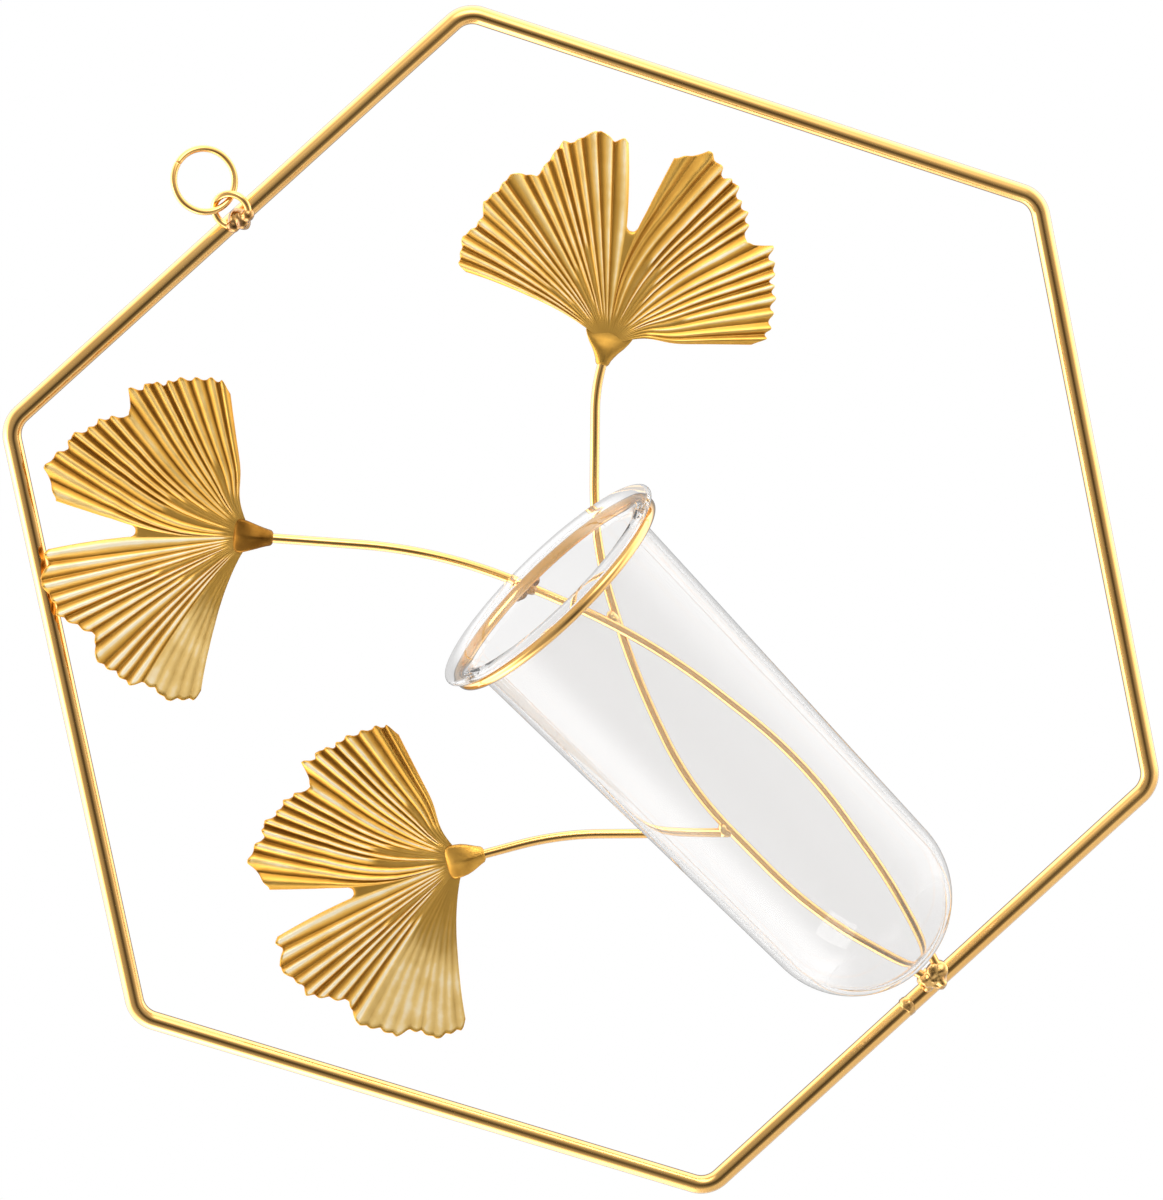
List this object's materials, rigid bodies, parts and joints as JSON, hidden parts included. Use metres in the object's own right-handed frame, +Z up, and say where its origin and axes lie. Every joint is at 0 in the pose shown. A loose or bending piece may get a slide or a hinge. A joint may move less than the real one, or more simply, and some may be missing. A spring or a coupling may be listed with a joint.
{
  "type": "hanging wall vase",
  "caption": "Hexagonal wire wall hanger with pleated ginkgo leaves on curved welded stems and a clear round-ended glass tube that hangs by its lip in a wire ring.",
  "frame": {"origin": "middle of the hanging ring's hole, where the wall nail goes", "axes": "+Z up, +X to the viewer's right, +Y towards the wall"},
  "size_m": [0.262, 0.0664, 0.2458],
  "materials": {
    "polished_gold": "polished gold plating on drawn wire",
    "weld_gold": "plated weld bead, slightly dull",
    "satin_gold": "satin gold plating on stamped sheet",
    "clear_glass": "clear drawn glass tube"
  },
  "bodies": {
    "wall_frame": {"hexagon_frame": "polished_gold", "frame_seam_weld": "weld_gold", "hanging_eyelet": "polished_gold", "eyelet_weld": "weld_gold", "crossing_weld": "weld_gold", "branch_weld": "weld_gold", "base_weld": "weld_gold", "neck_ring": "polished_gold", "neck_ring_weld": "weld_gold", "upper_left_stem": "polished_gold", "right_stem": "polished_gold", "lower_left_stem": "polished_gold", "upper_left_leaf": "satin_gold", "right_leaf": "satin_gold", "lower_left_leaf": "satin_gold", "upper_left_leaf_ferrule": "satin_gold", "right_leaf_ferrule": "satin_gold", "lower_left_leaf_ferrule": "satin_gold"},
    "hanger": {"hanging_ring": "polished_gold"},
    "vase": {"glass_tube": "clear_glass"}
  },
  "joints": [
    {"name": "ring_swing", "type": "hinge", "parent": "wall_frame", "child": "hanger", "pos_m": [0, 0, -0.0067], "axis": [-0.9613, -0.2756, 0], "range_deg": [-165, 90]},
    {"name": "tube_lift", "type": "slide", "parent": "wall_frame", "child": "vase", "axis": [-0.0384, -0.0314, 0.9988], "range_m": [0, 0.115]}
  ]
}
